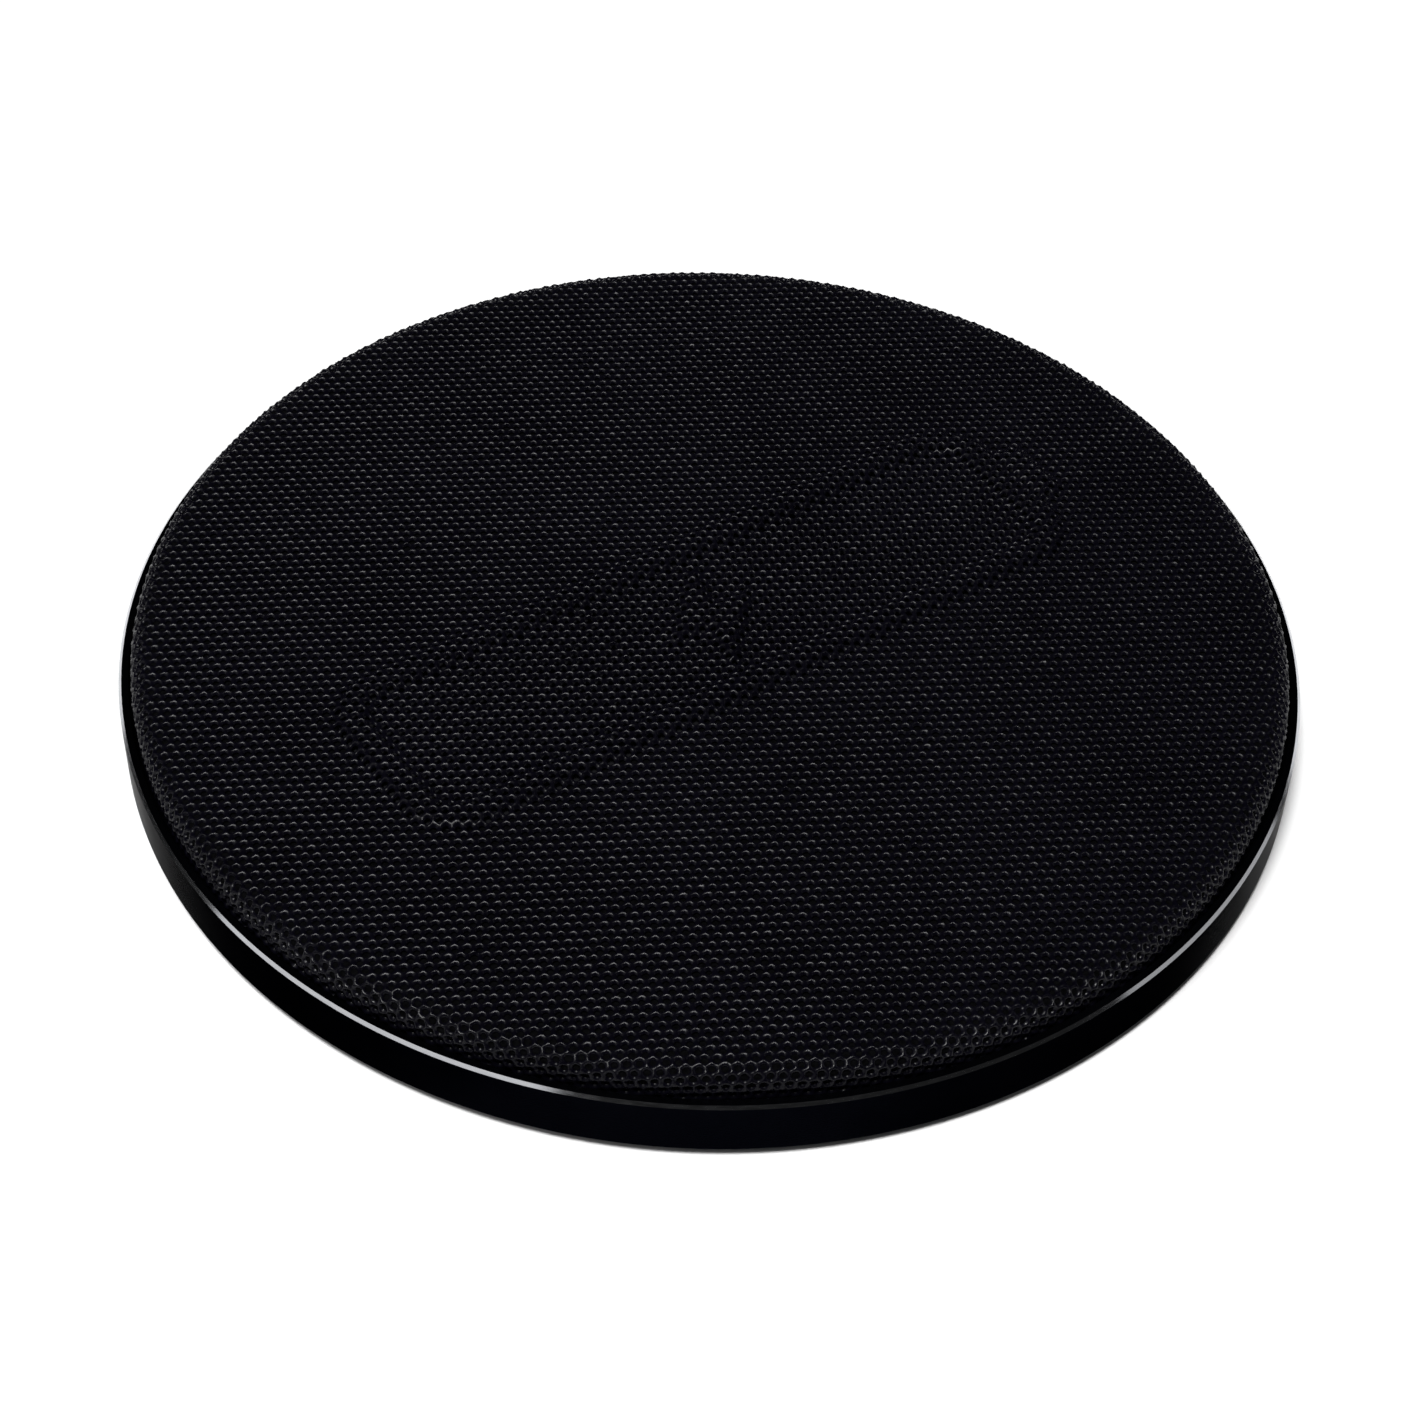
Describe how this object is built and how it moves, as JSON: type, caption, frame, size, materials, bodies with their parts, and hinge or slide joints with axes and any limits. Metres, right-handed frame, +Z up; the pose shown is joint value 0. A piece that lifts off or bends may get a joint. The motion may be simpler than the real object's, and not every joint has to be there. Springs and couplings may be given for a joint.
{
  "type": "wireless charging pad",
  "caption": "Round, low wireless charging pad with a mesh fabric top, a metal bezel ring, a rear USB-C inlet and a ring foot.",
  "frame": {"origin": "centre of the underside of the foot ring, on the surface that the pad rests on", "axes": "+Z up, through the middle of the charging area; +X is the reading direction of the emblem; +Y is the rear, towards the USB-C inlet"},
  "size_m": [0.1, 0.1, 0.0083],
  "materials": {
    "mesh_fabric": "matt black honeycomb mesh, with fine glints on the yarn",
    "foam": "black closed-cell foam",
    "film": "black die-cut film",
    "anodised_black": "fine-blasted black anodising, with a bright-cut chamfer",
    "housing_plastic": "black spark-textured plastic",
    "silicone": "matt black silicone",
    "label": "dark grey satin film, blank",
    "steel": "zinc-plated",
    "carrier_plastic": "natural off-white plastic",
    "ferrite": "dark grey ferrite",
    "copper": null,
    "board": "green solder mask",
    "chip": "black moulding compound",
    "ceramic": "tan ceramic",
    "inlet_plastic": "black glass-filled plastic",
    "clear_plastic": "milky clear plastic"
  },
  "bodies": {
    "root": {"bezel_ring": "anodised_black", "board_screw_1": "steel", "board_screw_2": "steel", "bottom_housing": "housing_plastic", "bridge_chip_1": "chip", "bridge_chip_2": "chip", "circuit_board": "board", "coil_carrier": "carrier_plastic", "coil_winding": "copper", "controller_chip": "chip", "emblem_insert": "film", "fabric_cover": "mesh_fabric", "ferrite_sheet": "ferrite", "filter_inductor": "chip", "foam_underlay": "foam", "foot_ring": "silicone", "housing_screw_1": "steel", "housing_screw_2": "steel", "housing_screw_3": "steel", "housing_screw_4": "steel", "input_capacitor_1": "ceramic", "input_capacitor_2": "ceramic", "light_pipe": "clear_plastic", "rating_label": "label", "resonant_capacitor_1": "ceramic", "resonant_capacitor_2": "ceramic", "resonant_capacitor_3": "ceramic", "resonant_capacitor_4": "ceramic", "status_led": "clear_plastic", "thermistor": "chip", "top_plate": "housing_plastic", "usb_shell": "steel", "usb_tongue": "inlet_plastic"}
  },
  "joints": []
}
